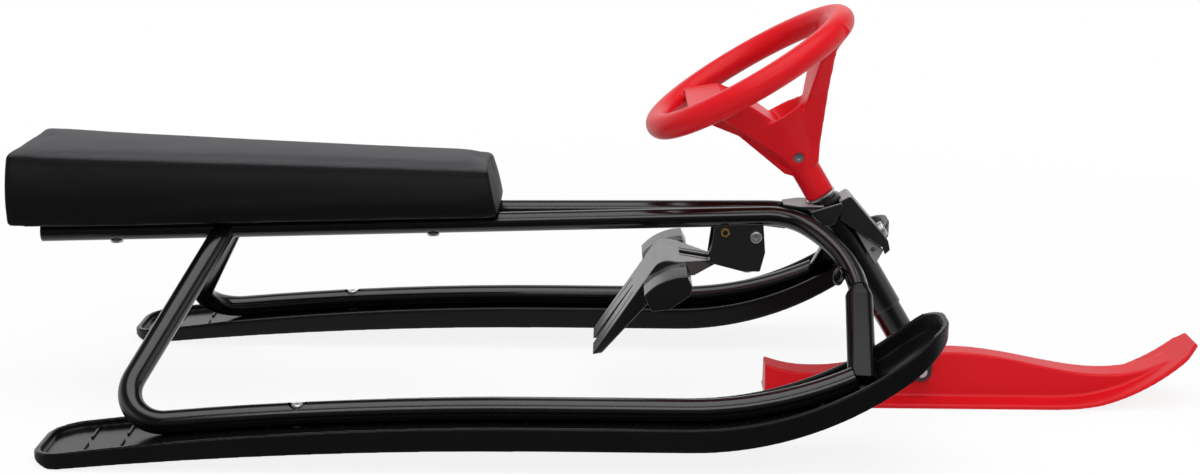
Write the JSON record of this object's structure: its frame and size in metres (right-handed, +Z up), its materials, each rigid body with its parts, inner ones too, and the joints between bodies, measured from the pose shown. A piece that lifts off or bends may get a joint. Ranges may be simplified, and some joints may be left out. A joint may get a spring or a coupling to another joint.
{
  "type": "steering sled",
  "caption": "Child's steering sled: padded seat on steel rails, fixed plastic runners, wheel-steered front ski on a raked column and a foot brake with claws.",
  "frame": {"origin": "on the ground under the middle of the overall box", "axes": "+X forwards to the ski tip, +Y to the rider's left, +Z up"},
  "size_m": [1.1556, 0.512, 0.3898],
  "materials": {
    "red_plastic": "satin moulded",
    "black_plastic": "fine grain, moulded",
    "black_steel": "gloss powder coat",
    "zinc_steel": "zinc plated",
    "brass": "plain",
    "plywood": "raw ply",
    "seat_cover": "matt coated cover with fine grain"
  },
  "bodies": {
    "frame": {"brake_bracket": "black_steel", "brake_pivot_bolt": "zinc_steel", "brake_pivot_nut": "zinc_steel", "brake_spring": "zinc_steel", "brake_stop_nuts": "brass", "brake_stop_pin": "zinc_steel", "head_front_bolt": "zinc_steel", "head_front_shield": "black_steel", "head_top_plate": "black_steel", "head_tube": "black_steel", "left_front_leg": "black_steel", "left_lower_gusset": "black_steel", "left_rope_eye": "black_steel", "left_runner": "black_plastic", "left_runner_rail": "black_steel", "left_top_rail": "black_steel", "left_upper_gusset": "black_steel", "lower_steering_bush": "black_plastic", "rail_end_plugs": "black_plastic", "right_front_leg": "black_steel", "right_lower_gusset": "black_steel", "right_rope_eye": "black_steel", "right_runner": "black_plastic", "right_runner_rail": "black_steel", "right_top_rail": "black_steel", "right_upper_gusset": "black_steel", "runner_screws": "zinc_steel", "seat_board": "plywood", "seat_bolts": "zinc_steel", "seat_cushion": "seat_cover", "seat_tee_nuts": "zinc_steel", "spring_anchor_bolt": "zinc_steel", "upper_steering_bush": "black_plastic"},
    "steering": {"steering_wheel": "red_plastic", "wheel_clamp_screw": "zinc_steel", "wheel_clamp_nut": "zinc_steel", "steering_column": "black_steel", "column_washer": "zinc_steel", "thrust_collar": "black_plastic", "ski_fork": "black_steel", "ski_pivot_bolt": "zinc_steel", "ski_pivot_nut": "zinc_steel"},
    "ski": {"front_ski": "red_plastic", "ski_pivot_sleeve": "zinc_steel"},
    "brake": {"brake_lever": "black_plastic", "right_foot_peg": "black_plastic", "left_foot_peg": "black_plastic", "foot_peg_rod": "zinc_steel", "brake_bush": "black_plastic"}
  },
  "joints": [
    {"name": "steering_turn", "type": "hinge", "parent": "frame", "child": "steering", "pos_m": [0.128, 0, 0.325], "axis": [-0.515, 0, 0.8572], "range_deg": [-30, 30]},
    {"name": "ski_pitch", "type": "hinge", "parent": "steering", "child": "ski", "pos_m": [0.304, 0, 0.031], "axis": [0, 1, 0], "range_deg": [-8, 8]},
    {"name": "brake_pedal", "type": "hinge", "parent": "frame", "child": "brake", "pos_m": [0.137, 0, 0.166], "axis": [0, -1, 0], "range_deg": [0, 20], "stiffness_Nm_per_rad": 3, "springref_deg": -20.05, "deforming": ["brake_spring"]}
  ]
}
